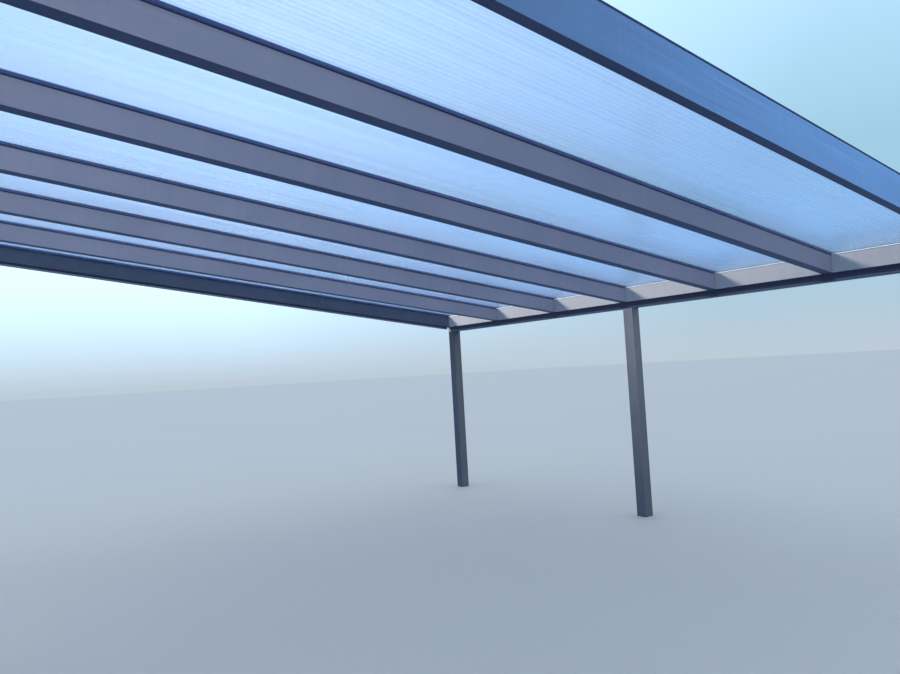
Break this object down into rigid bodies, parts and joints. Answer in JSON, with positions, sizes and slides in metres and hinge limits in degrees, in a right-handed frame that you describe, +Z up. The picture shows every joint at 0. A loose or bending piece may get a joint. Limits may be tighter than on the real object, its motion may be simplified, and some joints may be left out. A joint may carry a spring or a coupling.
{
  "type": "open lean-to carport",
  "caption": "Open free-standing carport with a single-slope roof of clear multi-wall sheets on hollow metal rafters, a gutter beam and slim square posts.",
  "frame": {"origin": "on the ground, in the middle of the outer box", "axes": "+Z up, +X down the roof slope towards the gutter, +Y along the gutter"},
  "size_m": [5.878, 6.116, 3.0426],
  "materials": {
    "anthracite_frame": "satin powder coat, anthracite grey",
    "clear_multiwall_sheet": "clear ribbed multi-wall polycarbonate with a faint blue cast"
  },
  "bodies": {
    "root": {"glazing_cap_1": "anthracite_frame", "glazing_cap_2": "anthracite_frame", "glazing_cap_3": "anthracite_frame", "glazing_cap_4": "anthracite_frame", "glazing_cap_5": "anthracite_frame", "glazing_cap_6": "anthracite_frame", "glazing_cap_7": "anthracite_frame", "gutter_beam": "anthracite_frame", "gutter_end_cap_left": "anthracite_frame", "gutter_end_cap_right": "anthracite_frame", "gutter_outlet": "anthracite_frame", "gutter_post_left": "anthracite_frame", "gutter_post_middle": "anthracite_frame", "gutter_post_right": "anthracite_frame", "high_beam": "anthracite_frame", "high_beam_end_cap_left": "anthracite_frame", "high_beam_end_cap_right": "anthracite_frame", "high_post_left": "anthracite_frame", "high_post_middle": "anthracite_frame", "high_post_right": "anthracite_frame", "rafter_1": "anthracite_frame", "rafter_2": "anthracite_frame", "rafter_3": "anthracite_frame", "rafter_4": "anthracite_frame", "rafter_5": "anthracite_frame", "rafter_6": "anthracite_frame", "rafter_7": "anthracite_frame", "roof_sheet_1": "clear_multiwall_sheet", "roof_sheet_2": "clear_multiwall_sheet", "roof_sheet_3": "clear_multiwall_sheet", "roof_sheet_4": "clear_multiwall_sheet", "roof_sheet_5": "clear_multiwall_sheet", "roof_sheet_6": "clear_multiwall_sheet", "sheet_end_profile_1": "anthracite_frame", "sheet_end_profile_2": "anthracite_frame", "sheet_end_profile_3": "anthracite_frame", "sheet_end_profile_4": "anthracite_frame", "sheet_end_profile_5": "anthracite_frame", "sheet_end_profile_6": "anthracite_frame", "side_cover_left": "anthracite_frame", "side_cover_right": "anthracite_frame"}
  },
  "joints": []
}
